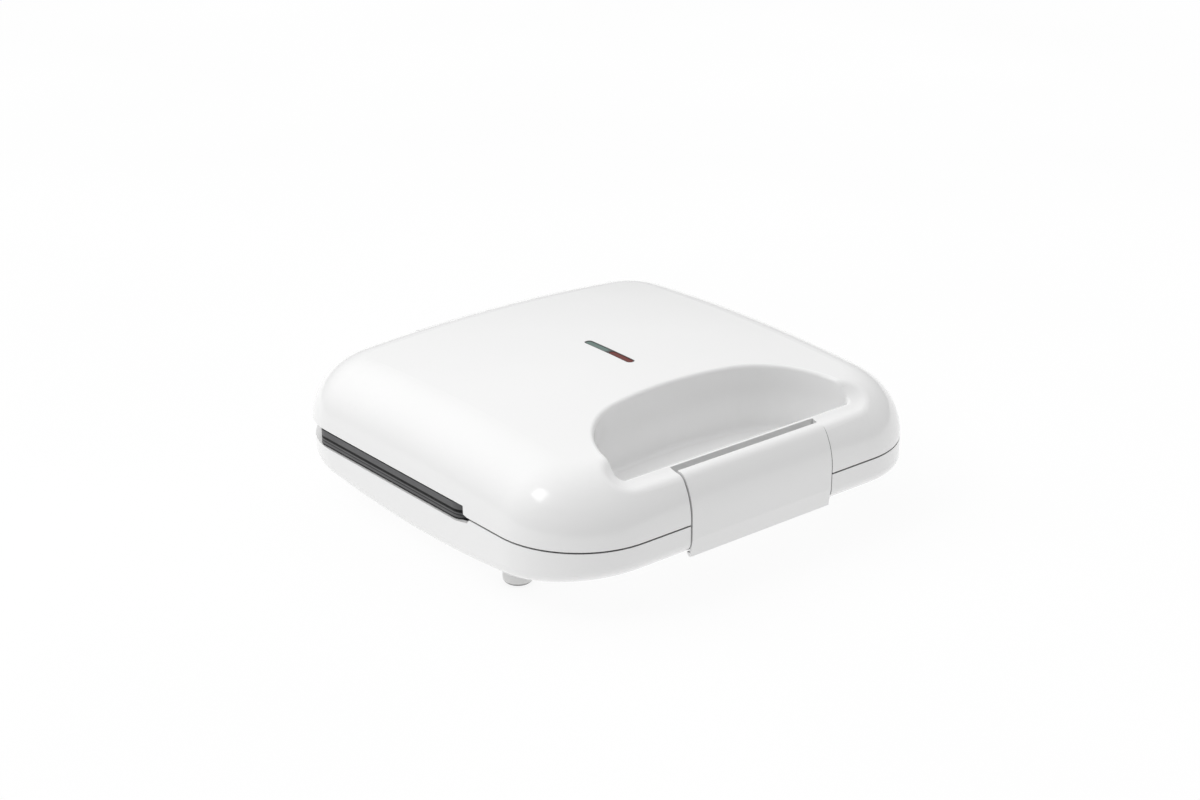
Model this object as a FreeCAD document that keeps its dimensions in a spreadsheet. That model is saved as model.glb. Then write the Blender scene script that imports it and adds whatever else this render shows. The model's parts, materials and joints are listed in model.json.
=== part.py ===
import FreeCAD, Part
import Sketcher
import math
import os
import re
from FreeCAD import Vector

# Electric donut maker: two crowned shells hinged at the back, a pair of baking
# plates between them, a latch clip on the handle bar.
# Frame: origin on the table under the middle of the object, +Z up, handle and
# latch towards -Y, hinge towards +Y.  Millimetres.

doc = FreeCAD.newDocument("donut_maker")

# ---------------------------------------------------------------- dimensions
dims = doc.addObject("Spreadsheet::Sheet", "dims")
CELLS = [
    # shells
    ("width", 226.0), ("front_reach", 110.0), ("back_reach", 108.0), ("corner", 43.0), ("rear_corner", 39.3),
    ("parting", 34.0), ("half_gap", 0.4), ("wall", 2.4), ("deck", 2.2),
    ("crown", 38.6), ("crown_ball", 1000.0), ("crown_shift", 12.0), ("shoulder", 31.0),
    ("slot_up", 5.0), ("slot_low", 4.0), ("slot_start", 39.7),
    ("hull_drop", 22.0), ("hull_ball", 610.0), ("hull_shift", 5.0), ("hull_edge", 6.0),
    # finger recess and handle bar
    ("recess_front", 93.0), ("recess_back", 47.2), ("recess_side", 69.8), ("recess_taper", 0.1),
    ("recess_corner", 42.0), ("recess_bow", 206.0), ("recess_floor", 3.0), ("recess_root", 2.5),
    ("recess_nick", 3.0), ("recess_lip", 2.0), ("recess_wall", 2.2),
    ("scoop_ball", 20.0), ("scoop_y", 102.8), ("scoop_z", 41.5), ("scoop_half", 66.0), ("scoop_lip", 5.0),
    ("bar_back", 86.0),
    # hinge
    ("hinge_y", 99.5), ("hinge_z", 18.0), ("hinge_pin", 2.5), ("hinge_play", 0.05),
    ("block_half", 44.5), ("block_front", 90.5), ("block_ball", 19.4), ("block_gap", 0.8), ("lug_half", 52.0), ("notch_half", 46.6), ("rear_deck", 80.0),
    # latch
    ("latch_half", 42.1), ("latch_gap", 0.8), ("latch_y", 101.0), ("latch_z", 13.4),
    ("latch_barrel", 3.4), ("latch_pin", 1.55), ("latch_play", 0.05), ("latch_pin_half", 48.5),
    # plates
    ("plate_gap", 0.15), ("plate_half", 112.0), ("plate_front", 39.0), ("plate_back", 77.5), ("plate_rear", 79.5), ("plate_corner", 8.0),
    ("plate_flange", 3.2), ("ring_pitch_x", 70.0), ("ring_pitch_y", 56.2), ("ring_mid", 17.8),
    ("ring_tube", 8.4), ("ring_skin", 1.5), ("plate_screw_x", 35.0), ("screw_rad", 2.0),
    # heaters and shields
    ("heater_rad", 2.5), ("heater_half", 103.6), ("heater_front", 35.3), ("heater_end", 69.0),
    ("heater_depth", 9.0), ("heater_bend", 14.0),
    ("shield_half", 108.0), ("shield_depth", 12.7), ("shield_sheet", 0.6),
    # feet and small parts
    ("foot_x", 91.6), ("foot_front", 50.6), ("foot_in", 72.0), ("foot_back", 72.0), ("foot_rad", 6.9), ("foot_tip", 2.6),
    ("window_long", 34.0), ("window_wide", 4.4), ("window_y", 3.3),
    ("gland_rise", 2.0), ("gland_bore", 3.4), ("gland_rad", 5.6), ("gland_flange", 7.6), ("gland_out", 3.0),
]
for i, (key, value) in enumerate(CELLS):
    dims.set("A%d" % (i + 1), key)
    dims.set("B%d" % (i + 1), repr(value))
    dims.setAlias("B%d" % (i + 1), key)
doc.recompute()
NAMES = dict(CELLS)


def val(key):
    return float(getattr(dims, key))


def num(text):
    """Value of a dimension formula, in millimetres."""
    total = 0.0
    for sign, term in re.findall(r"([+-]?)\s*([^+-]+)", str(text).replace(" ", "")):
        part = 1.0
        for op, f in re.findall(r"([*/]?)([A-Za-z_.0-9]+)", term):
            v = val(f) if f in NAMES else float(f)
            part = part / v if op == "/" else part * v
        total += -part if sign == "-" else part
    return total


def ex(text):
    """The same formula as a sheet expression."""
    return re.sub(r"[A-Za-z_]+", lambda m: "dims." + m.group(0) if m.group(0) in NAMES else m.group(0), str(text))


def place(obj, x="0", y="0", z="0"):
    for axis, e in zip("xyz", (x, y, z)):
        obj.setExpression("Placement.Base." + axis, ex(e))
    return obj


def box(name, x0, x1, y0, y1, z0, z1):
    o = doc.addObject("Part::Box", name)
    o.setExpression("Length", "(%s) - (%s)" % (ex(x1), ex(x0)))
    o.setExpression("Width", "(%s) - (%s)" % (ex(y1), ex(y0)))
    o.setExpression("Height", "(%s) - (%s)" % (ex(z1), ex(z0)))
    return place(o, x0, y0, z0)


AXES = {"x": FreeCAD.Rotation(Vector(0, 1, 0), 90), "y": FreeCAD.Rotation(Vector(1, 0, 0), -90), "z": FreeCAD.Rotation()}


def rod(name, rad, length, axis, x="0", y="0", z="0"):
    o = doc.addObject("Part::Cylinder", name)
    o.setExpression("Radius", ex(rad))
    o.setExpression("Height", ex(length))
    o.Placement = FreeCAD.Placement(Vector(), AXES[axis])
    return place(o, x, y, z)


def cone(name, r1, r2, length, x="0", y="0", z="0"):
    o = doc.addObject("Part::Cone", name)
    o.setExpression("Radius1", ex(r1))
    o.setExpression("Radius2", ex(r2))
    o.setExpression("Height", ex(length))
    return place(o, x, y, z)


def cut(name, base, *tools):
    for i, tool in enumerate(tools):
        o = doc.addObject("Part::Cut", name if i == len(tools) - 1 else "%s_%d" % (name, i))
        o.Base = base
        o.Tool = tool
        base = o
    return base


def join(name, *parts):
    o = doc.addObject("Part::MultiFuse", name)
    o.Shapes = list(parts)
    return o


def meet(name, a, b):
    o = doc.addObject("Part::Common", name)
    o.Base = a
    o.Tool = b
    return o


def solid(name, shape):
    o = doc.addObject("Part::Feature", name)
    o.Shape = shape
    o.Placement = FreeCAD.Placement()
    return o


def rounded(name, base, pick, radius):
    """Fillet the edges of base for which pick(edge) is true."""
    doc.recompute()
    o = doc.addObject("Part::Fillet", name)
    o.Base = base
    r = num(radius)
    o.Edges = [(i + 1, r, r) for i, e in enumerate(base.Shape.Edges) if pick(e)]
    doc.recompute()
    if o.Shape.isNull() or not o.Shape.isValid() or o.Shape.Volume <= 0:
        raise RuntimeError("fillet failed: " + name)
    return o


def origin_plane(body, role):
    return [f for f in body.Origin.OriginFeatures if f.Role == role][0]


def pin_point(sk, g, pos, xe, ye):
    """Fix a sketch point at a dimensioned place."""
    for kind, e, axis in (("DistanceX", xe, -2), ("DistanceY", ye, -1)):
        v = num(e)
        if abs(v) < 1e-9:
            sk.addConstraint(Sketcher.Constraint("PointOnObject", g, pos, axis))
            continue
        if v > 0:
            i = sk.addConstraint(Sketcher.Constraint(kind, -1, 1, g, pos, v))
            sk.setExpression("Constraints[%d]" % i, ex(e))
        else:
            i = sk.addConstraint(Sketcher.Constraint(kind, g, pos, -1, 1, -v))
            sk.setExpression("Constraints[%d]" % i, "-(" + ex(e) + ")")


def plan_pad(name, half, y0, y1, r, z0, z1, rear=None):
    """Rounded rectangle in plan, symmetric about X, padded from z0 to z1.
    The two corners at the back may have a radius of their own."""
    rear = rear or r
    b = doc.addObject("PartDesign::Body", name)
    s = b.newObject("Sketcher::SketchObject", name + "_outline")
    s.AttachmentSupport = [(origin_plane(b, "XY_Plane"), "")]
    s.MapMode = "FlatFace"
    H, D, R, Q = num(half), (num(y1) - num(y0)) / 2.0, num(r), num(rear)
    for p, q in (((-H + R, -D), (H - R, -D)), ((H, -D + R), (H, D - Q)), ((H - Q, D), (-H + Q, D)), ((-H, D - Q), (-H, -D + R))):
        s.addGeometry(Part.LineSegment(Vector(p[0], p[1], 0), Vector(q[0], q[1], 0)))
    for cx, cy, t, a in ((H - R, -D + R, R, -90), (H - Q, D - Q, Q, 0), (-H + Q, D - Q, Q, 90), (-H + R, -D + R, R, 180)):
        s.addGeometry(Part.ArcOfCircle(Part.Circle(Vector(cx, cy, 0), Vector(0, 0, 1), t), math.radians(a), math.radians(a + 90)))
    for k in range(4):
        s.addConstraint(Sketcher.Constraint("Tangent", k, 2, 4 + k, 1))
        s.addConstraint(Sketcher.Constraint("Tangent", 4 + k, 2, (k + 1) % 4, 1))
    s.addConstraint(Sketcher.Constraint("Horizontal", 0))
    s.addConstraint(Sketcher.Constraint("Horizontal", 2))
    s.addConstraint(Sketcher.Constraint("Vertical", 1))
    s.addConstraint(Sketcher.Constraint("Vertical", 3))
    for k, m, t, e in ((4, 7, R, r), (5, 6, Q, rear)):
        s.addConstraint(Sketcher.Constraint("Equal", k, m))
        i = s.addConstraint(Sketcher.Constraint("Radius", k, t))
        s.setExpression("Constraints[%d]" % i, ex(e))
    half_deep = "((%s) - (%s)) / 2" % (ex(y1), ex(y0))
    for args, v, e in (((-1, 1, 1, 1), H, ex(half)), ((3, 1, -1, 1), H, ex(half))):
        i = s.addConstraint(Sketcher.Constraint("DistanceX", *args, v))
        s.setExpression("Constraints[%d]" % i, e)
    for args in ((-1, 1, 2, 1), (0, 1, -1, 1)):
        i = s.addConstraint(Sketcher.Constraint("DistanceY", *args, D))
        s.setExpression("Constraints[%d]" % i, half_deep)
    pad = b.newObject("PartDesign::Pad", name + "_pad")
    pad.Profile = s
    pad.setExpression("Length", "(%s) - (%s)" % (ex(z1), ex(z0)))
    s.Visibility = False
    b.setExpression("Placement.Base.y", "((%s) + (%s)) / 2" % (ex(y0), ex(y1)))
    b.setExpression("Placement.Base.z", ex(z0))
    return b


def side_pad(name, points, half, x_mid="0"):
    """Closed section in the YZ plane, padded across X.  A point is (y, z) or
    (y, z, radius): with a radius, the edge that leaves it is an arc, bulging
    left of the way of travel for a positive radius."""
    b = doc.addObject("PartDesign::Body", name)
    s = b.newObject("Sketcher::SketchObject", name + "_section")
    s.AttachmentSupport = [(origin_plane(b, "YZ_Plane"), "")]
    s.MapMode = "FlatFace"
    n = len(points)
    xy = [(num(p[0]), num(p[1])) for p in points]
    ends = []
    for k in range(n):
        a, c = xy[k], xy[(k + 1) % n]
        if len(points[k]) == 2:
            s.addGeometry(Part.LineSegment(Vector(a[0], a[1], 0), Vector(c[0], c[1], 0)))
            ends.append((1, 2))
            continue
        r = points[k][2]
        rr = abs(num(r))
        mx, my = (a[0] + c[0]) / 2, (a[1] + c[1]) / 2
        dx, dy = c[0] - a[0], c[1] - a[1]
        chord = math.hypot(dx, dy)
        lift = math.sqrt(max(rr * rr - chord * chord / 4, 0))
        left = num(r) > 0
        # bulge to the left puts the centre on the right of the chord
        sx, sy = (dy / chord, -dx / chord) if left else (-dy / chord, dx / chord)
        cx, cy = mx + sx * lift, my + sy * lift
        a0, a1 = math.atan2(a[1] - cy, a[0] - cx), math.atan2(c[1] - cy, c[0] - cx)
        if left:
            a0, a1 = a1, a0
        if a1 < a0:
            a1 += 2 * math.pi
        g = s.addGeometry(Part.ArcOfCircle(Part.Circle(Vector(cx, cy, 0), Vector(0, 0, 1), rr), a0, a1))
        ends.append((2, 1) if left else (1, 2))
    for k in range(n):
        s.addConstraint(Sketcher.Constraint("Coincident", k, ends[k][1], (k + 1) % n, ends[(k + 1) % n][0]))
    for k in range(n):
        pin_point(s, k, ends[k][0], points[k][0], points[k][1])
    for k in range(n):
        if len(points[k]) == 3:
            r = points[k][2]
            i = s.addConstraint(Sketcher.Constraint("Radius", k, abs(num(r))))
            s.setExpression("Constraints[%d]" % i, "abs(" + ex(r) + ")")
    pad = b.newObject("PartDesign::Pad", name + "_pad")
    pad.Profile = s
    pad.setExpression("Length", "2 * (" + ex(half) + ")")
    s.Visibility = False
    b.setExpression("Placement.Base.x", "(" + ex(x_mid) + ") - (" + ex(half) + ")")
    return b


def group(name, obj, spots):
    """Identical pieces at several places, kept as one node."""
    doc.recompute()
    copies = []
    for s in spots:
        c = obj.Shape.copy()
        c.translate(Vector(*[num(v) for v in s]))
        copies += c.Solids
    return solid(name, Part.makeCompound(copies))


def node(obj, label):
    obj.Label = label
    NODES.append(obj)
    return obj


NODES = []


def off(sign, text):
    """Height of a formula above (sign 1) or below (sign -1) the parting plane."""
    if sign > 0:
        return "parting+" + text
    return "parting-" + text.translate({43: "-", 45: "+"})


def span(sign, a, b):
    return (off(1, a), off(1, b)) if sign > 0 else (off(-1, b), off(-1, a))


# ---------------------------------------------------------------- crowned shell
def crowned(name, inset, z0):
    """Upper shell form: plan outline, cut by a large ball on top, with a wide
    rolled shoulder.  inset moves every face in by the same amount."""
    prism = plan_pad(name + "_plan", "width/2-" + inset, "0-front_reach+" + inset, "back_reach-" + inset,
                     "corner-" + inset, z0, "parting+crown+20", "rear_corner-" + inset)
    ball = doc.addObject("Part::Sphere", name + "_ball")
    ball.setExpression("Radius", ex("crown_ball-" + inset))
    ball.Placement = FreeCAD.Placement(Vector(), FreeCAD.Rotation(Vector(1, 0, 0), 90))
    place(ball, "0", "crown_shift", "parting+crown-crown_ball")
    raw = meet(name + "_raw", prism, ball)
    doc.recompute()
    top = max(raw.Shape.Faces, key=lambda f: f.CenterOfMass.z)
    keys = [e.hashCode() for e in top.Edges]
    return rounded(name, raw, lambda e: e.hashCode() in keys, "shoulder-" + inset)


lid_form = crowned("lid_form", "0", "parting+half_gap")



def hinge_space(name, rad, half):
    """Space round the hinge line: a drum in front, open behind."""
    drum = rod(name + "_drum", rad, "2*" + half, "x", "0-" + half, "hinge_y", "parting+hinge_z")
    if "-" in half or "+" in half:
        raise RuntimeError(half)
    back = box(name + "_back", "0-" + half, half, "hinge_y", "back_reach+5", "parting-5", "parting+60")
    return join(name, drum, back)


# hinge block: the back of the same form, carried by the base
block_form = meet("block_form", lid_form, hinge_space("block_space", "block_ball", "block_half"))

# ---------------------------------------------------------------- handle bar scoop
scoop_rod = rod("scoop_rod", "scoop_ball", "2*scoop_half", "x", "0-scoop_half", "0-scoop_y", "parting+scoop_z")
scoop_ends = []
for side in ("0-scoop_half", "scoop_half"):
    o = doc.addObject("Part::Sphere", "scoop_end")
    o.setExpression("Radius", ex("scoop_ball"))
    o.Placement = FreeCAD.Placement(Vector(), FreeCAD.Rotation(Vector(0, 1, 0), 90))
    scoop_ends.append(place(o, side, "0-scoop_y", "parting+scoop_z"))
scoop = join("scoop", scoop_rod, *scoop_ends)
lid_cut = cut("lid_scooped", lid_form, scoop)
doc.recompute()


def on_scoop(e):
    pts = e.discretize(7)
    for p in pts:
        x = max(abs(p.x) - num("scoop_half"), 0)
        d = math.sqrt(x * x + (p.y + num("scoop_y")) ** 2 + (p.z - num("parting+scoop_z")) ** 2)
        if abs(d - num("scoop_ball")) > 0.02:
            return False
    return True


def scoop_rim(e):
    """Edges where the scoop meets the outer skin."""
    if not on_scoop(e):
        return False
    near = lid_cut.Shape.ancestorsOfType(e, Part.Face)
    kinds = sorted(f.Surface.TypeId for f in near)
    hits = 0
    for f in near:
        c = f.Surface
        if c.TypeId == "Part::GeomCylinder" and abs(c.Radius - num("scoop_ball")) < 1e-6:
            hits += 1
        if c.TypeId == "Part::GeomSphere" and abs(c.Radius - num("scoop_ball")) < 1e-6:
            hits += 1
    return hits == 1


lid_soft = rounded("lid_soft", lid_cut, scoop_rim, "scoop_lip")


# ---------------------------------------------------------------- finger recess
def recess_solid(grow):
    """D-shaped finger recess, seen from above, with a rounded root."""
    side, slope, rc, rb = num("recess_side"), num("recess_taper"), num("recess_corner"), num("recess_bow")
    fy = -num("recess_front")
    by = -num("recess_back") - rb                     # centre of the bowed back
    k = math.sqrt(1 + slope * slope)
    ux, uy = -slope / k, 1 / k                        # along the side, backwards
    nx, ny = uy, -ux                                  # outwards
    ax, ay = side - nx * rc, fy - 1.0 - ny * rc
    # slide the corner's centre along the side until it touches the bowed back
    lo, hi = 0.0, 80.0
    for _ in range(60):
        t = (lo + hi) / 2
        if math.hypot(ax + ux * t, ay + uy * t - by) < rb - rc:
            lo = t
        else:
            hi = t
    cx, cy = ax + ux * t, ay + uy * t
    R, B = rc + grow, rb + grow
    p2 = (cx + nx * R, cy + ny * R)
    f = fy - grow
    p3 = (p2[0] - ux * (p2[1] - f) / uy, f)
    d = math.hypot(cx, cy - by)
    p1 = (cx / d * B, by + (cy - by) / d * B)
    ma = (math.atan2(p2[1] - cy, p2[0] - cx) + math.atan2(p1[1] - cy, p1[0] - cx)) / 2
    pm = (cx + R * math.cos(ma), cy + R * math.sin(ma))
    z = num("parting+recess_floor") - grow

    def v(p, s=1):
        return Vector(s * p[0], p[1], z)
    edges = [Part.LineSegment(v(p3, -1), v(p3)).toShape(), Part.LineSegment(v(p3), v(p2)).toShape(),
             Part.Arc(v(p2), v(pm), v(p1)).toShape(), Part.Arc(v(p1), Vector(0, by + B, z), v(p1, -1)).toShape(),
             Part.Arc(v(p1, -1), v(pm, -1), v(p2, -1)).toShape(), Part.LineSegment(v(p2, -1), v(p3, -1)).toShape()]
    s = Part.Face(Part.Wire(edges)).extrude(Vector(0, 0, 60))
    nick = [e for e in s.Edges if abs(e.BoundBox.ZLength - 60) < 1e-6 and abs(e.BoundBox.YMin - f) < 1e-3]
    s = s.makeFillet(num("recess_nick") + grow, nick)
    root = [e for e in s.Edges if e.BoundBox.ZMax < z + 1e-6]
    return s.makeFillet(num("recess_root") + grow, root)


recess = solid("recess", recess_solid(0.0))
recess_out = solid("recess_out", recess_solid(num("recess_wall")))
lid_open = cut("lid_open", lid_soft, recess)
doc.recompute()


def recess_rim(e):
    """Edges of the mouth of the recess."""
    if e.BoundBox.ZMin < num("parting+recess_floor+14"):
        return False
    near = lid_open.Shape.ancestorsOfType(e, Part.Face)
    wall = 0
    for f in near:
        p = f.Surface
        u0, u1, v0, v1 = f.ParameterRange
        m = f.valueAt((u0 + u1) / 2, (v0 + v1) / 2)
        nrm = f.normalAt((u0 + u1) / 2, (v0 + v1) / 2)
        straight = p.TypeId in ("Part::GeomPlane", "Part::GeomCylinder") and abs(nrm.z) < 1e-6
        wall += 1 if straight and abs(m.x) < num("recess_side+2") and num("0-recess_front-1") < m.y < num("0-recess_back+1") else 0
    return wall == 1


lid_mouth = rounded("lid_mouth", lid_open, recess_rim, "recess_lip")

# ---------------------------------------------------------------- upper housing
lid_core = crowned("lid_core", "wall", "parting+half_gap+deck")
plan_in = plan_pad("plan_in", "width/2-wall", "0-front_reach+wall", "back_reach-wall", "corner-wall", "parting-3", "parting+3")
rear_space = box("rear_space", "0-width/2", "width/2", "0-slot_start-1.3", "rear_deck", "parting-3", "parting+3")
lid_well = meet("lid_well", plan_in, rear_space)
bar_space = box("bar_space", "0-width/2-5", "width/2+5", "0-front_reach-5", "0-bar_back", "parting-5", "parting+60")
lug_space = hinge_space("lug_space", "block_ball+block_gap+2", "lug_half")
lid_deck = box("lid_deck", "0-width/2-5", "width/2+5", "rear_deck", "back_reach+5", "parting-5", "parting+slot_up+deck")
lid_room = cut("lid_room", join("lid_room_raw", lid_core, lid_well), recess_out, bar_space, lug_space, lid_deck)

notch = hinge_space("notch", "block_ball+block_gap", "notch_half")
slot_top = side_pad("slot_top", [("0-slot_start-4.8", "parting"), ("0-slot_start-0.3", "parting+1"), ("0-slot_start", "parting+slot_up"),
                                 ("back_reach+10", "parting+slot_up"), ("back_reach+10", "parting-1"), ("0-slot_start-4.8", "parting-1")],
                    "width/2+5")
latch_room = side_pad("latch_room", [("0-116", "parting-1"), ("0-116", "parting+40"), ("0-95.8", "parting+40"), ("0-95.8", "parting+15.6"),
                                     ("0-96.8", "parting+15.4"), ("0-96.8", "parting+11.4"), ("0-98.8", "parting+9.3"),
                                     ("0-103.2", "parting+9.3"), ("0-105.6", "parting+9.9"), ("0-107", "parting+7.9"), ("0-107", "parting-1")],
                      "latch_half+latch_gap")
pin_hole = rod("pin_hole", "latch_pin", "2*latch_pin_half+0.4", "x", "0-latch_pin_half-0.2", "0-latch_y", "parting+latch_z")
hinge_hole = rod("hinge_hole", "hinge_pin+hinge_play", "101", "x", "0-50.5", "hinge_y", "parting+hinge_z")
window = plan_pad("window", "window_wide/2", "0-window_y-window_long/2", "0-window_y+window_long/2", "window_wide/2-0.2",
                  "parting+crown-8", "parting+crown+8")
lid_shell = cut("lid_shell", lid_mouth, lid_room, notch, slot_top, latch_room, pin_hole, hinge_hole, window)

MID = "plate_back/2-plate_front/2"
up_towers = [rod("up_tower", "5", "crown-half_gap-plate_flange-2.3", "z", x, MID, "parting+half_gap+plate_flange") for x in ("0-plate_screw_x", "plate_screw_x")]
up_taps = [rod("up_tap", "screw_rad", "14", "z", x, MID, "parting+half_gap+plate_flange-0.5") for x in ("0-plate_screw_x", "plate_screw_x")]
upper_housing = node(cut("upper_housing", join("lid_with_towers", lid_shell, *up_towers), *up_taps), "upper_housing")

# ---------------------------------------------------------------- lower housing
def hull(name, inset, z1):
    prism = plan_pad(name + "_plan", "width/2-" + inset, "0-front_reach+" + inset, "back_reach-" + inset, "corner-" + inset,
                     "parting-hull_drop-10", z1)
    keel = rod(name + "_keel", "hull_ball-" + inset, "width+40", "x", "0-width/2-20", "0-hull_shift", "parting-hull_drop+hull_ball")
    raw = meet(name + "_raw", prism, keel)
    doc.recompute()
    low = min(raw.Shape.Faces, key=lambda f: f.CenterOfMass.z)
    keys = [e.hashCode() for e in low.Edges]
    return rounded(name, raw, lambda e: e.hashCode() in keys, "hull_edge-" + inset)


base_form = hull("base_form", "0", "parting-half_gap")
base_core = hull("base_core", "wall", "parting-half_gap-deck")
base_well = meet("base_well", plan_in, rear_space)
catch_space = box("catch_space", "0-50", "50", "0-front_reach-5", "0-front_reach+12", "parting-40", "parting")
base_deck = box("base_deck", "0-width/2-5", "width/2+5", "rear_deck", "back_reach+5", "parting-slot_low-deck", "parting+5")
base_room = cut("base_room", join("base_room_raw", base_core, base_well), catch_space, base_deck)
slot_bottom = side_pad("slot_bottom", [("0-slot_start-4.8", "parting"), ("0-slot_start-2.8", "parting-2.3"), ("0-slot_start+5.7", "parting-slot_low"),
                                       ("back_reach+10", "parting-slot_low"), ("back_reach+10", "parting+1"), ("0-slot_start-4.8", "parting+1")],
                       "width/2+5")
catch_room = box("catch_room", "0-latch_half-latch_gap", "latch_half+latch_gap", "0-front_reach-5", "0-front_reach+3.5", "parting-40", "parting+1")
base_shell = cut("base_shell", base_form, base_room, slot_bottom, catch_room)

plan_full = plan_pad("plan_full", "width/2", "0-front_reach", "back_reach", "corner", "parting-5.4", "parting+1")
neck_space = box("neck_space", "0-block_half", "block_half", "block_front", "back_reach+5", "parting-slot_low", "parting+1")
neck = meet("neck", plan_full, neck_space)
low_towers = [rod("low_tower", "5", "20.5-half_gap-plate_flange", "z", x, MID, "parting-20.5") for x in ("0-plate_screw_x", "plate_screw_x")]
FEET = [("0-foot_x", "0-foot_front"), ("foot_x", "0-foot_front"), ("0-foot_in", "foot_back"), ("foot_in", "foot_back")]
foot_bosses = [rod("foot_boss", "4.5", "6" if k < 2 else "2.6", "z", FEET[k][0], FEET[k][1], "parting-19.6" if k < 2 else "parting-16") for k in range(4)]
base_raw = join("base_raw", base_shell, *(low_towers + foot_bosses))
wire_way = box("wire_way", "24", "32", "93", "103", "parting-9", "parting")
low_taps = [rod("low_tap", "screw_rad", "14", "z", x, MID, "parting-half_gap-plate_flange-13.5") for x in ("0-plate_screw_x", "plate_screw_x")]
foot_taps = [rod("foot_tap", "1.5", "34", "z", x, y, "parting-44.5") for x, y in FEET]
lower_housing = node(cut("lower_housing", base_raw, wire_way, *(low_taps + foot_taps)), "lower_housing")

# ---------------------------------------------------------------- hinge block on the rear deck
block_room = join("block_room", box("block_low", "0-34", "34", "93", "104", "parting-slot_low-1", "parting+14"),
                  box("block_high", "0-34", "34", "86", "98", "parting+8", "parting+24"))
pin_seats = [rod("pin_seat", "hinge_pin", "8.6", "x", x, "hinge_y", "parting+hinge_z") for x in ("36", "0-44.6")]
gland_seat = rod("gland_seat", "gland_rad", "10", "y", "0", "102", "parting+gland_rise")
node(cut("hinge_block", join("block_raw", neck, block_form), block_room, *(pin_seats + [gland_seat])), "hinge_block")

# ---------------------------------------------------------------- baking plates
def plate(name, sign):
    """Cast plate with six ring cavities, face on the parting plane."""
    def h(a):
        return off(sign, a)
    z0, z1 = span(sign, "plate_gap", "half_gap+plate_flange")
    flange = plan_pad(name + "_flange", "plate_half", "0-plate_front", "plate_rear", "plate_corner", z0, z1)
    spots = [(x, MID + y) for x in ("0-ring_pitch_x", "0", "ring_pitch_x") for y in ("-ring_pitch_y/2", "+ring_pitch_y/2")]
    b0, b1 = span(sign, "half_gap+1", "half_gap+20")
    bumps, wells = [], []
    for x, y in spots:
        o = doc.addObject("Part::Torus", name + "_bump")
        o.setExpression("Radius1", ex("ring_mid"))
        o.setExpression("Radius2", ex("ring_tube+ring_skin"))
        place(o, x, y, h("plate_gap"))
        bumps.append(meet(name + "_ring", o, box(name + "_above", x + "-40", x + "+40", y + "-40", y + "+40", b0, b1)))
        w = doc.addObject("Part::Torus", name + "_well")
        w.setExpression("Radius1", ex("ring_mid"))
        w.setExpression("Radius2", ex("ring_tube"))
        wells.append(place(w, x, y, h("plate_gap")))
    s0, s1 = span(sign, "half_gap+plate_flange-0.5", "half_gap+heater_depth-heater_rad")
    seats = [box(name + "_seat", x + "-3", x + "+3", MID + "-3", MID + "+3", s0, s1) for x in ("0-heater_half", "heater_half")]
    seats += [box(name + "_seat", x + "-3", x + "+3", "0-heater_front-2", "0-heater_front+2", s0, s1) for x in ("0-35", "35")]
    body = join(name + "_cast", flange, *(bumps + seats))
    cuts = list(wells)
    for x in ("0-plate_screw_x", "plate_screw_x"):
        cuts.append(rod(name + "_hole", "2.2", "12", "z", x, MID, "parting-6"))
        c = cone(name + "_sink", "4.3", "2.2", "2.2", x, MID, h("plate_gap"))
        if sign < 0:
            c.setExpression("Radius1", "2.2")
            c.setExpression("Radius2", "4.3")
            place(c, x, MID, h("plate_gap+2.2"))
        cuts.append(c)
    return node(cut(name, body, *cuts), name)


plate("upper_baking_plate", 1)
plate("lower_baking_plate", -1)


def plate_screws(name, sign):
    """Countersunk screws that hold a plate to its two towers."""
    def z(a):
        return off(sign, a)
    if sign > 0:
        head = cone(name + "_head", "4.1", "2", "2.2", "0", "0", z("plate_gap+0.1"))
        shank = rod(name + "_shank", "screw_rad", "14", "z", "0", "0", z("plate_gap+1.2"))
        bars = [box(name + "_bar", a, b, c, d, z("plate_gap-1"), z("plate_gap+1.1")) for a, b, c, d in (("0-2.2", "2.2", "0-0.45", "0.45"), ("0-0.45", "0.45", "0-2.2", "2.2"))]
    else:
        head = cone(name + "_head", "2", "4.1", "2.2", "0", "0", z("plate_gap+2.3"))
        shank = rod(name + "_shank", "screw_rad", "14", "z", "0", "0", z("plate_gap+15.2"))
        bars = [box(name + "_bar", a, b, c, d, z("plate_gap+1.1"), z("plate_gap-1")) for a, b, c, d in (("0-2.2", "2.2", "0-0.45", "0.45"), ("0-0.45", "0.45", "0-2.2", "2.2"))]
    one = cut(name + "_one", join(name + "_raw", head, shank), *bars)
    return node(group(name, one, [("0-plate_screw_x", MID, "0"), ("plate_screw_x", MID, "0")]), name)


plate_screws("upper_plate_screws", 1)
plate_screws("lower_plate_screws", -1)


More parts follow.
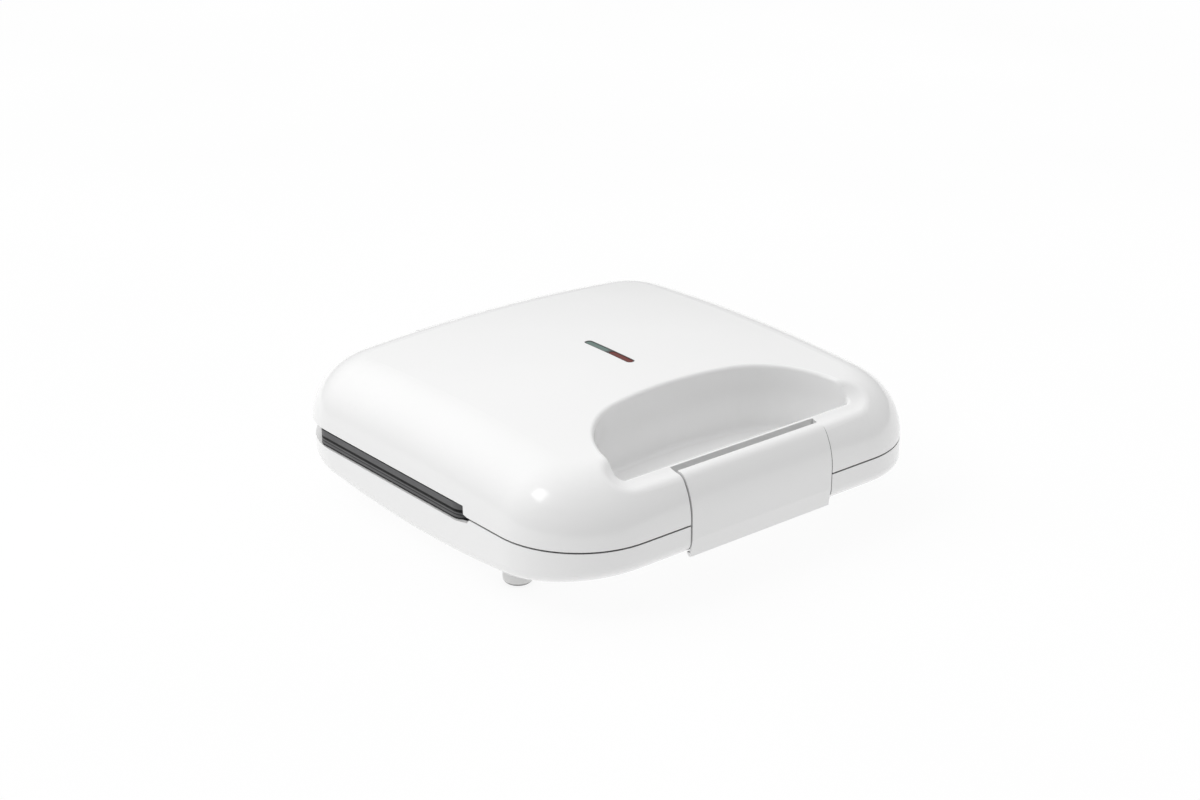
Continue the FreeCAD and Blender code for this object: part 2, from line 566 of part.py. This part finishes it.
# ---------------------------------------------------------------- heaters and shields
def heater(name, sign):
    """U-shaped sheathed element around the rings, with a terminal pin at each end."""
    z = num("parting") + sign * num("half_gap+heater_depth")
    hx, fy, ey, r, b = num("heater_half"), -num("heater_front"), num("heater_end"), num("heater_rad"), num("heater_bend")
    k = b * (1 - math.sqrt(0.5))
    path = [Part.LineSegment(Vector(-hx, ey, z), Vector(-hx, fy + b, z)).toShape(),
            Part.Arc(Vector(-hx, fy + b, z), Vector(-hx + k, fy + k, z), Vector(-hx + b, fy, z)).toShape(),
            Part.LineSegment(Vector(-hx + b, fy, z), Vector(hx - b, fy, z)).toShape(),
            Part.Arc(Vector(hx - b, fy, z), Vector(hx - k, fy + k, z), Vector(hx, fy + b, z)).toShape(),
            Part.LineSegment(Vector(hx, fy + b, z), Vector(hx, ey, z)).toShape()]
    ring = Part.Wire([Part.Circle(Vector(-hx, ey, z), Vector(0, 1, 0), r).toShape()])
    tube = Part.Wire(path).makePipeShell([ring], True, False)
    if not tube.isValid() or abs(tube.Volume) < 1:
        raise RuntimeError("heater")
    pins = [Part.makeCylinder(1.2, 16, Vector(x, ey - 1, z), Vector(0, 1, 0)) for x in (-hx, hx)]
    return node(solid(name, tube.fuse(pins).removeSplitter()), name)


heater("upper_heating_element", 1)
heater("lower_heating_element", -1)


def shield(name, sign):
    """Sheet tray behind a plate, with holes for the towers and the terminals."""
    z0, z1 = span(sign, "half_gap+plate_flange", "half_gap+shield_depth")
    i0, i1 = span(sign, "half_gap", "half_gap+shield_depth-shield_sheet")
    h0, h1 = span(sign, "0", "20")
    outer = plan_pad(name + "_outer", "shield_half", "0-plate_front+0.3", "plate_back-0.3", "10", z0, z1)
    inner = plan_pad(name + "_inner", "shield_half-shield_sheet", "0-plate_front+0.3+shield_sheet", "plate_back-0.3-shield_sheet", "10-shield_sheet", i0, i1)
    holes = [rod(name + "_hole", "5.4", "20", "z", x, MID, h0) for x in ("0-plate_screw_x", "plate_screw_x")]
    holes += [rod(name + "_exit", "2.2", "8", "y", x, "plate_back-5", off(sign, "half_gap+heater_depth")) for x in ("0-heater_half", "heater_half")]
    return node(cut(name, outer, inner, *holes), name)


shield("upper_heat_shield", 1)
shield("lower_heat_shield", -1)

# ---------------------------------------------------------------- feet
foot_rod = rod("foot_rod", "foot_rad", "parting-14", "z")
foot_soft = rounded("foot_soft", foot_rod, lambda e: e.BoundBox.ZMax < 0.01, "foot_tip")
foot_sunk = cut("foot_sunk", foot_soft, rod("foot_sink", "3.4", "5.5", "z"), rod("foot_through", "1.6", "40", "z"))
feet_raw = group("feet_raw", foot_sunk, [(x, y, "0") for x, y in FEET])
node(cut("feet", feet_raw, base_form), "feet")
foot_screw = cut("foot_screw", join("foot_screw_raw", rod("foot_screw_head", "3", "2", "z", "0", "0", "3.5"), rod("foot_screw_shank", "1.5", "parting-13.2-5.4", "z", "0", "0", "5.4")),
                 box("foot_screw_bar", "0-2", "2", "0-0.4", "0.4", "3", "4.3"), box("foot_screw_bar", "0-0.4", "0.4", "0-2", "2", "3", "4.3"))
node(group("foot_screws", foot_screw, [(x, y, "0") for x, y in FEET]), "foot_screws")

# ---------------------------------------------------------------- hinge pins, gland, terminals
pin = rod("hinge_pin_one", "hinge_pin", "14.1", "x")
node(group("hinge_pins", pin, [("36.1", "hinge_y", "parting+hinge_z"), ("0-50.2", "hinge_y", "parting+hinge_z")]), "hinge_pins")
gland = cut("cord_gland", join("gland_raw", rod("gland_body", "gland_rad", "back_reach-102.5", "y", "0", "102.5", "parting+gland_rise"),
                               rod("gland_collar", "gland_flange", "gland_out", "y", "0", "back_reach", "parting+gland_rise")),
            rod("gland_way", "gland_bore", "20", "y", "0", "100", "parting+gland_rise"))
node(gland, "cord_gland")
tb_body = box("tb_body", "0-20", "20", "93", "99.5", "parting-4", "parting+7")
tb_holes = [rod("tb_hole", "1.6", "20", "z", x, "96.2", "parting-6") for x in ("0-12", "0", "12")]
node(cut("terminal_block", tb_body, *tb_holes), "terminal_block")
tb_screw = join("tb_screw", rod("tb_head", "2.6", "1.6", "z", "0", "0", "7"), rod("tb_shank", "1.6", "9", "z", "0", "0", "0-2"))
node(group("terminal_screws", tb_screw, [(x, "96.2", "parting") for x in ("0-12", "0", "12")]), "terminal_screws")

# ---------------------------------------------------------------- indicator
WY = "0-window_y"


def on_crown(name, pad, drop):
    """Top off a pad with the crown's own ball, a little lower."""
    ball = doc.addObject("Part::Sphere", name + "_ball")
    ball.setExpression("Radius", ex("crown_ball-" + drop))
    ball.Placement = FreeCAD.Placement(Vector(), FreeCAD.Rotation(Vector(1, 0, 0), 90))
    place(ball, "0", "crown_shift", "parting+crown-crown_ball")
    return meet(name, pad, ball)


def lamp_pad(name, y0, y1, z0):
    return plan_pad(name, "window_wide/2-0.5", y0, y1, "1.6", z0, "parting+crown+2")


GREEN = (WY + "+0.8", WY + "+window_long/2-0.5")
RED = (WY + "-window_long/2+0.5", WY + "-0.8")
bezel_raw = plan_pad("bezel_raw", "window_wide/2", WY + "-window_long/2", WY + "+window_long/2", "window_wide/2-0.2", "parting+crown-7", "parting+crown+2")
bezel_cut = cut("bezel_cut", bezel_raw, lamp_pad("green_cut", GREEN[0], GREEN[1], "parting+crown-9"), lamp_pad("red_cut", RED[0], RED[1], "parting+crown-9"))
node(on_crown("indicator_bezel", bezel_cut, "0.1"), "indicator_bezel")
node(on_crown("green_lens", lamp_pad("green_pad", GREEN[0], GREEN[1], "parting+crown-6"), "0.25"), "green_lens")
node(on_crown("red_lens", lamp_pad("red_pad", RED[0], RED[1], "parting+crown-6"), "0.25"), "red_lens")
holder = cut("lamp_holder", box("holder_body", "0-6", "6", WY + "-21", WY + "+21", "parting+crown-17", "parting+crown-7"),
             box("holder_room", "0-4.5", "4.5", WY + "-19.5", WY + "+19.5", "parting+crown-15.5", "parting+crown-6"))
node(holder, "lamp_holder")
lamp = join("lamp_one", rod("lamp_glass", "2.6", "10", "y", "0", "0", "0"), rod("lamp_leg", "0.4", "16", "y", "1", "0-3", "0"), rod("lamp_leg", "0.4", "16", "y", "0-1", "0-3", "0"))
node(group("neon_lamps", lamp, [("0", WY + "+4", "parting+crown-12.9"), ("0", WY + "-14", "parting+crown-12.9")]), "neon_lamps")

# ---------------------------------------------------------------- thermostat and fuse
SH = "parting+half_gap+shield_depth"
th = join("thermostat", rod("th_cup", "9", "7", "z", "0", "45", SH), box("th_strap", "0-16", "16", "41", "49", SH, SH + "+1"),
          box("th_tab", "0-5.4", "0-4.6", "42", "48", SH + "+6", SH + "+14"), box("th_tab", "4.6", "5.4", "42", "48", SH + "+6", SH + "+14"))
node(th, "thermostat")
fu = join("thermal_fuse", rod("fuse_can", "2.2", "14", "x", "30", "52", SH + "+2.2"), rod("fuse_lead", "0.5", "34", "x", "20", "52", SH + "+2.2"))
node(fu, "thermal_fuse")

# ---------------------------------------------------------------- latch
latch_plate = side_pad("latch_plate", [("0-109", "parting-15.6"), ("0-110.3", "parting-7"), ("0-110.3", "parting+2.9", "31.3"),
                                       ("0-105.18", "parting+20.05", "5"), ("0-101.45", "parting+22.26"), ("0-100", "parting+22.4"),
                                       ("0-100", "parting+20.3"), ("0-101.9", "parting+20.1", "0-2.6"), ("0-103.9", "parting+18.9", "0-29.6"),
                                       ("0-108.6", "parting+2.9"), ("0-108.6", "parting-13.7"), ("0-106.8", "parting-13.7"),
                                       ("0-106.8", "parting-14.5"), ("0-107.8", "parting-15.6")], "latch_half")
barrel = rod("barrel", "latch_barrel", "2*latch_half", "x", "0-latch_half", "0-latch_y", "parting+latch_z")
web = box("web", "0-latch_half", "latch_half", "0-107.2", "0-latch_y", "parting+11.5", "parting+15.5")
latch_bore = rod("latch_bore", "latch_pin+latch_play", "2*latch_half+2", "x", "0-latch_half-1", "0-latch_y", "parting+latch_z")
node(cut("latch_clip", join("latch_raw", latch_plate, barrel, web), latch_bore), "latch_clip")
node(rod("latch_pin_rod", "latch_pin", "2*latch_pin_half", "x", "0-latch_pin_half", "0-latch_y", "parting+latch_z"), "latch_pin")

# ---------------------------------------------------------------- check and write
doc.recompute()
bad = [o.Name for o in doc.Objects if "Invalid" in o.State or "Error" in o.State]
if bad:
    raise RuntimeError("failed objects: " + ", ".join(bad))
os.makedirs("parts", exist_ok=True)
for o in NODES:
    shape = o.Shape
    if shape.isNull() or not shape.isValid() or shape.Volume <= 0:
        raise RuntimeError("bad shape: " + o.Label)
for o in NODES:
    o.Shape.exportStep(os.path.join("parts", o.Label + ".step"))
    b = o.Shape.BoundBox
    print("%-24s %d solid(s) %9.1f mm3  x %.1f..%.1f y %.1f..%.1f z %.1f..%.1f" % (
        o.Label, len(o.Shape.Solids), o.Shape.Volume, b.XMin, b.XMax, b.YMin, b.YMax, b.ZMin, b.ZMax))
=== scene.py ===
import bpy, bmesh, math, json
from mathutils import Vector, Matrix

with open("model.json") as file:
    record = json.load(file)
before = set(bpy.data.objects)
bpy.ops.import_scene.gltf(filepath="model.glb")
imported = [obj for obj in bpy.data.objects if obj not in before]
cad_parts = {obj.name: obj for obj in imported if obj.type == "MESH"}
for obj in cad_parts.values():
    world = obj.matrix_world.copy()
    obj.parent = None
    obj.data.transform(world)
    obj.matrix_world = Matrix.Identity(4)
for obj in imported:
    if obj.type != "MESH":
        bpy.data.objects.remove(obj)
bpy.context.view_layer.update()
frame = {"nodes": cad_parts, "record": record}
N = frame["nodes"]
scene = bpy.context.scene


# ------------------------------------------------------------------ materials
def tree(name):
    m = bpy.data.materials.new(name)
    m.use_nodes = True
    t = m.node_tree
    t.nodes.clear()
    out = t.nodes.new("ShaderNodeOutputMaterial")
    p = t.nodes.new("ShaderNodeBsdfPrincipled")
    t.links.new(p.outputs["BSDF"], out.inputs["Surface"])
    return m, t, p


def coords(t):
    return t.nodes.new("ShaderNodeTexCoord").outputs["Object"]


def noise(t, co, scale, detail=2.0, rough=0.5, stretch=None):
    if stretch:
        mp = t.nodes.new("ShaderNodeMapping")
        mp.inputs["Scale"].default_value = stretch
        t.links.new(co, mp.inputs["Vector"])
        co = mp.outputs["Vector"]
    n = t.nodes.new("ShaderNodeTexNoise")
    n.inputs["Scale"].default_value = scale
    n.inputs["Detail"].default_value = detail
    n.inputs["Roughness"].default_value = rough
    t.links.new(co, n.inputs["Vector"])
    return n.outputs["Fac"]


def span(t, fac, lo, hi, f0=0.3, f1=0.7):
    r = t.nodes.new("ShaderNodeMapRange")
    r.inputs["From Min"].default_value = f0
    r.inputs["From Max"].default_value = f1
    r.inputs["To Min"].default_value = lo
    r.inputs["To Max"].default_value = hi
    t.links.new(fac, r.inputs["Value"])
    return r.outputs["Result"]


def blend(t, fac, a, b):
    m = t.nodes.new("ShaderNodeMix")
    m.data_type = "RGBA"
    for i, c in ((6, a), (7, b)):
        if isinstance(c, tuple):
            m.inputs[i].default_value = c + (1.0,)
        else:
            t.links.new(c, m.inputs[i])
    if isinstance(fac, float):
        m.inputs[0].default_value = fac
    else:
        t.links.new(fac, m.inputs[0])
    return m.outputs[2]


def bump(t, p, height, dist, strength=1.0, normal=None):
    b = t.nodes.new("ShaderNodeBump")
    b.inputs["Strength"].default_value = strength
    b.inputs["Distance"].default_value = dist
    t.links.new(height, b.inputs["Height"])
    if normal is not None:
        t.links.new(normal, b.inputs["Normal"])
    return b.outputs["Normal"]


def axis_of(t, vec, i):
    n = t.nodes.new("ShaderNodeSeparateXYZ")
    t.links.new(vec, n.inputs[0])
    return n.outputs[i]


def calc(t, op, a, b=0.0):
    n = t.nodes.new("ShaderNodeMath")
    n.operation = op
    for i, v in enumerate((a, b)):
        if isinstance(v, float):
            n.inputs[i].default_value = v
        else:
            t.links.new(v, n.inputs[i])
    return n.outputs[0]


def plastic(name, light, dark, rough, grain, depth, coat=0.0, wave=0.0, crevice_shade=None):
    """Moulded plastic: faint tone drift, roughness drift, fine grain, and
    on the large mouldings painted shade: the colour darkened deep in the joints by an ambient-occlusion mask."""
    m, t, p = tree(name)
    co = coords(t)
    drift = noise(t, co, 18.0, 3.0)
    tone = blend(t, span(t, drift, 0.0, 1.0), dark, light)
    if crevice_shade:
        # painted shade: the base colour is darkened in joints, gaps and grooves where ambient occlusion within 4 mm
        # is high
        ao = t.nodes.new("ShaderNodeAmbientOcclusion")
        ao.samples = 8
        ao.inputs["Distance"].default_value = 0.004
        tone = blend(t, span(t, ao.outputs["AO"], 0.0, 1.0, 0.10, 0.60), crevice_shade, tone)
    t.links.new(tone, p.inputs["Base Color"])
    t.links.new(span(t, noise(t, co, 45.0, 3.0, 0.6), rough - 0.02, rough + 0.03), p.inputs["Roughness"])
    n1 = bump(t, p, noise(t, co, 16.0, 0.0), wave, 0.5) if wave else None
    t.links.new(bump(t, p, noise(t, co, grain, 1.0, 0.5), depth, 0.4, n1), p.inputs["Normal"])
    p.inputs["IOR"].default_value = 1.49
    if coat:
        p.inputs["Coat Weight"].default_value = coat
        p.inputs["Coat Roughness"].default_value = 0.10
    return m


def tipped(name, light, dark, rough, grain, depth):
    """Moulded foot whose colour goes dark over its bottom 2 mm."""
    m = plastic(name, light, dark, rough, grain, depth)
    t = m.node_tree
    p = next(n for n in t.nodes if n.type == "BSDF_PRINCIPLED")
    was = p.inputs["Base Color"].links[0].from_socket
    # the colour goes dark towards the bottom of the foot, fully dark below 0.8 mm and fading out by 1.9 mm
    tip = span(t, axis_of(t, coords(t), 2), 1.0, 0.0, 0.0008, 0.0019)
    t.links.new(blend(t, tip, was, (0.11, 0.11, 0.11)), p.inputs["Base Color"])
    return m


def metal(name, light, dark, rough, stretch, depth):
    """Drawn or brushed metal."""
    m, t, p = tree(name)
    co = coords(t)
    lines = noise(t, co, 900.0, 3.0, 0.6, stretch)
    stain = noise(t, co, 60.0, 4.0, 0.6)
    t.links.new(blend(t, span(t, stain, 0.0, 1.0), dark, light), p.inputs["Base Color"])
    t.links.new(span(t, lines, rough - 0.08, rough + 0.10), p.inputs["Roughness"])
    t.links.new(bump(t, p, lines, depth, 0.6), p.inputs["Normal"])
    p.inputs["Metallic"].default_value = 1.0
    return m


def coated(name):
    """Dark non-stick coating: fine orange peel with faint metal flake."""
    m, t, p = tree(name)
    co = coords(t)
    v = t.nodes.new("ShaderNodeTexVoronoi")
    v.inputs["Scale"].default_value = 2600.0
    t.links.new(co, v.inputs["Vector"])
    flake = span(t, v.outputs["Distance"], 1.0, 0.0, 0.0, 0.32)
    base = blend(t, span(t, noise(t, co, 40.0, 3.0), 0.0, 1.0), (0.072, 0.072, 0.075), (0.092, 0.092, 0.094))
    worn = blend(t, span(t, flake, 0.0, 0.30, 0.0, 1.0), base, (0.20, 0.20, 0.20))
    # painted shade: a dark line along the rim where the two plates meet, on the upright edges only, standing in for
    # the shade in the gap between them
    tc = t.nodes.new("ShaderNodeTexCoord")
    rise = calc(t, "ABSOLUTE", calc(t, "SUBTRACT", axis_of(t, co, 2), 0.034))
    parting_shade = span(t, rise, 1.0, 0.0, 0.00050, 0.00090)
    upright = span(t, calc(t, "ABSOLUTE", axis_of(t, tc.outputs["Normal"], 2)), 1.0, 0.0, 0.4, 0.6)
    # a fainter dark line 1.7 mm lower, and painted shade along the foot of the lower plate's edge, where the shadow
    # gap to the housing lip falls
    lower_line = span(t, calc(t, "ABSOLUTE", calc(t, "SUBTRACT", axis_of(t, co, 2), 0.0323)), 0.75, 0.0, 0.00015, 0.00042)
    lip_shade = span(t, calc(t, "ABSOLUTE", calc(t, "SUBTRACT", axis_of(t, co, 2), 0.0304)), 1.0, 0.0, 0.00030, 0.00065)
    line = calc(t, "MULTIPLY", calc(t, "MAXIMUM", parting_shade, calc(t, "MAXIMUM", lower_line, lip_shade)), upright)
    # the painted shade lines darken the coating colour and lower its specular level
    t.links.new(blend(t, line, worn, (0.010, 0.010, 0.010)), p.inputs["Base Color"])
    t.links.new(span(t, line, 0.50, 0.12), p.inputs["Specular IOR Level"])
    t.links.new(span(t, noise(t, co, 120.0, 4.0), 0.36, 0.50), p.inputs["Roughness"])
    t.links.new(bump(t, p, noise(t, co, 1500.0, 3.0, 0.6), 0.00006, 0.5), p.inputs["Normal"])
    return m


def lens(name, deep, lit):
    """Tinted lamp lens over a dark chamber, with a fine prism pattern inside."""
    m, t, p = tree(name)
    co = coords(t)
    w = t.nodes.new("ShaderNodeTexWave")
    w.wave_type = "BANDS"
    w.bands_direction = "Y"
    w.inputs["Scale"].default_value = 420.0
    w.inputs["Distortion"].default_value = 0.4
    t.links.new(co, w.inputs["Vector"])
    t.links.new(blend(t, span(t, w.outputs["Fac"], 0.0, 1.0, 0.0, 1.0), deep, lit), p.inputs["Base Color"])
    t.links.new(span(t, noise(t, co, 300.0, 3.0), 0.10, 0.22), p.inputs["Roughness"])
    t.links.new(bump(t, p, w.outputs["Fac"], 0.00004, 0.3), p.inputs["Normal"])
    p.inputs["IOR"].default_value = 1.22
    return m


M = {
    # the last colour of shell and latch is the painted shade in their joints
    "shell": plastic("shell_white", (0.902, 0.902, 0.901), (0.892, 0.892, 0.891), 0.15, 5200.0, 0.0000015, 0.25, 0.00001, (0.28, 0.28, 0.28)),
    "latch": plastic("latch_white", (0.900, 0.900, 0.899), (0.890, 0.890, 0.889), 0.24, 5200.0, 0.0000015, 0.2, 0.00001, (0.78, 0.78, 0.78)),
    "plate": coated("nonstick"),
    "screw": metal("zinc", (0.62, 0.62, 0.61), (0.48, 0.48, 0.47), 0.34, (1.0, 1.0, 0.2), 0.00002),
    "sheath": metal("sheath", (0.40, 0.37, 0.34), (0.27, 0.25, 0.24), 0.42, (1.0, 0.1, 1.0), 0.00002),
    "sheet": metal("sheet", (0.66, 0.66, 0.66), (0.54, 0.54, 0.55), 0.33, (0.06, 1.0, 1.0), 0.000015),
    "foot": tipped("foot_grey", (0.78, 0.78, 0.775), (0.72, 0.72, 0.715), 0.52, 1800.0, 0.00004),
    "pin": metal("pin_steel", (0.64, 0.64, 0.65), (0.52, 0.52, 0.53), 0.24, (0.05, 1.0, 1.0), 0.00001),
    "gland": plastic("gland_white", (0.80, 0.80, 0.79), (0.74, 0.74, 0.73), 0.48, 1900.0, 0.00003),
    "ceramic": plastic("ceramic", (0.80, 0.78, 0.72), (0.72, 0.70, 0.65), 0.55, 1500.0, 0.00003),
    "brass_screw": metal("brass", (0.74, 0.57, 0.28), (0.58, 0.43, 0.20), 0.30, (1.0, 1.0, 0.3), 0.00002),
    "bezel": plastic("bezel_dark", (0.055, 0.055, 0.055), (0.040, 0.040, 0.040), 0.40, 2200.0, 0.00002),
    "lens_green": lens("lens_green", (0.105, 0.160, 0.140), (0.150, 0.215, 0.195)),
    "lens_red": lens("lens_red", (0.110, 0.014, 0.010), (0.165, 0.026, 0.018)),
    "holder": plastic("holder_white", (0.82, 0.82, 0.80), (0.76, 0.76, 0.74), 0.50, 1800.0, 0.00003),
    "lamp_glass": plastic("lamp_glass", (0.84, 0.80, 0.74), (0.74, 0.70, 0.65), 0.10, 900.0, 0.00001, 0.6),
}
for s in frame["record"]["subparts"]:
    o = N[s["node"]]
    mat = M["latch" if s["node"] == "latch_clip" else s["material_slot"]]
    o.data.materials.clear()
    o.data.materials.append(mat)

# ------------------------------------------------------------------ stage, light, camera
me = bpy.data.meshes.new("floor")
bm = bmesh.new()
bmesh.ops.create_grid(bm, x_segments=2, y_segments=2, size=6.0)
bm.to_mesh(me)
bm.free()
floor = bpy.data.objects.new("floor", me)
scene.collection.objects.link(floor)
fm, ft, fp = tree("floor_pale")
fc = coords(ft)
ft.links.new(blend(ft, span(ft, noise(ft, fc, 3.0, 2.0), 0.0, 1.0), (0.115, 0.115, 0.115), (0.125, 0.125, 0.125)), fp.inputs["Base Color"])
fp.inputs["Roughness"].default_value = 0.9
fp.inputs["Specular IOR Level"].default_value = 0.0
fp.inputs["Emission Color"].default_value = (1.0, 1.0, 1.0, 1.0)
fp.inputs["Emission Strength"].default_value = 0.872
me.materials.append(fm)

# soft studio: broad lobes of light around the object, brightest above, behind and left
LOBES = [
    ((0.0, 0.0, 1.0), 1.0, 0.900),
    ((1.0, 0.0, 0.25), 1.0, 0.300),
    ((0.0, 1.0, 0.25), 1.0, 0.260),
    ((-0.45, 0.60, 0.66), 5.0, 1.120),
]
AMBIENT = 0.0
w = bpy.data.worlds.new("studio")
scene.world = w
w.use_nodes = True
wt = w.node_tree
bg = wt.nodes["Background"]
bg.inputs["Color"].default_value = (1.0, 1.0, 1.0, 1.0)
wc = wt.nodes.new("ShaderNodeTexCoord")


def math_node(op, a, b):
    n = wt.nodes.new("ShaderNodeMath")
    n.operation = op
    for i, v in enumerate((a, b)):
        if isinstance(v, float):
            n.inputs[i].default_value = v
        else:
            wt.links.new(v, n.inputs[i])
    return n


total = math_node("ADD", AMBIENT, 0.0)
total.name = "ambient"
for k, (way, power, weight) in enumerate(LOBES):
    wd = wt.nodes.new("ShaderNodeVectorMath")
    wd.operation = "DOT_PRODUCT"
    wd.inputs[1].default_value = Vector(way).normalized()
    wt.links.new(wc.outputs["Generated"], wd.inputs[0])
    up = math_node("POWER", math_node("MAXIMUM", wd.outputs["Value"], 0.0).outputs[0], power)
    part = math_node("MULTIPLY", up.outputs[0], weight)
    part.name = "lobe_%d" % k
    total = math_node("ADD", total.outputs[0], part.outputs[0])
wt.links.new(total.outputs[0], bg.inputs["Strength"])


def lamp(name, loc, aim, size, power):
    d = bpy.data.lights.new(name, "AREA")
    d.shape = "RECTANGLE"
    d.size, d.size_y = size
    d.energy = power
    o = bpy.data.objects.new(name, d)
    scene.collection.objects.link(o)
    o.location = loc
    o.rotation_euler = (Vector(aim) - Vector(loc)).to_track_quat("-Z", "Y").to_euler()
    return o


lamp("softbox", (-1.07, 0.25, 1.25), (-0.05, -0.05, 0.05), (0.40, 0.40), 2.0)

cam = bpy.data.cameras.new("camera")
cam.lens = 66.54
cam.sensor_width = 36.0
cam.clip_start = 0.01
cam.clip_end = 30.0
co = bpy.data.objects.new("camera", cam)
scene.collection.objects.link(co)
co.location = (-0.62238, -0.75058, 0.44628)
co.rotation_euler = (math.radians(90.0 - 22.289), 0.0, math.radians(-39.533))
scene.camera = co
scene.view_settings.view_transform = "Standard"
scene.view_settings.look = "None"
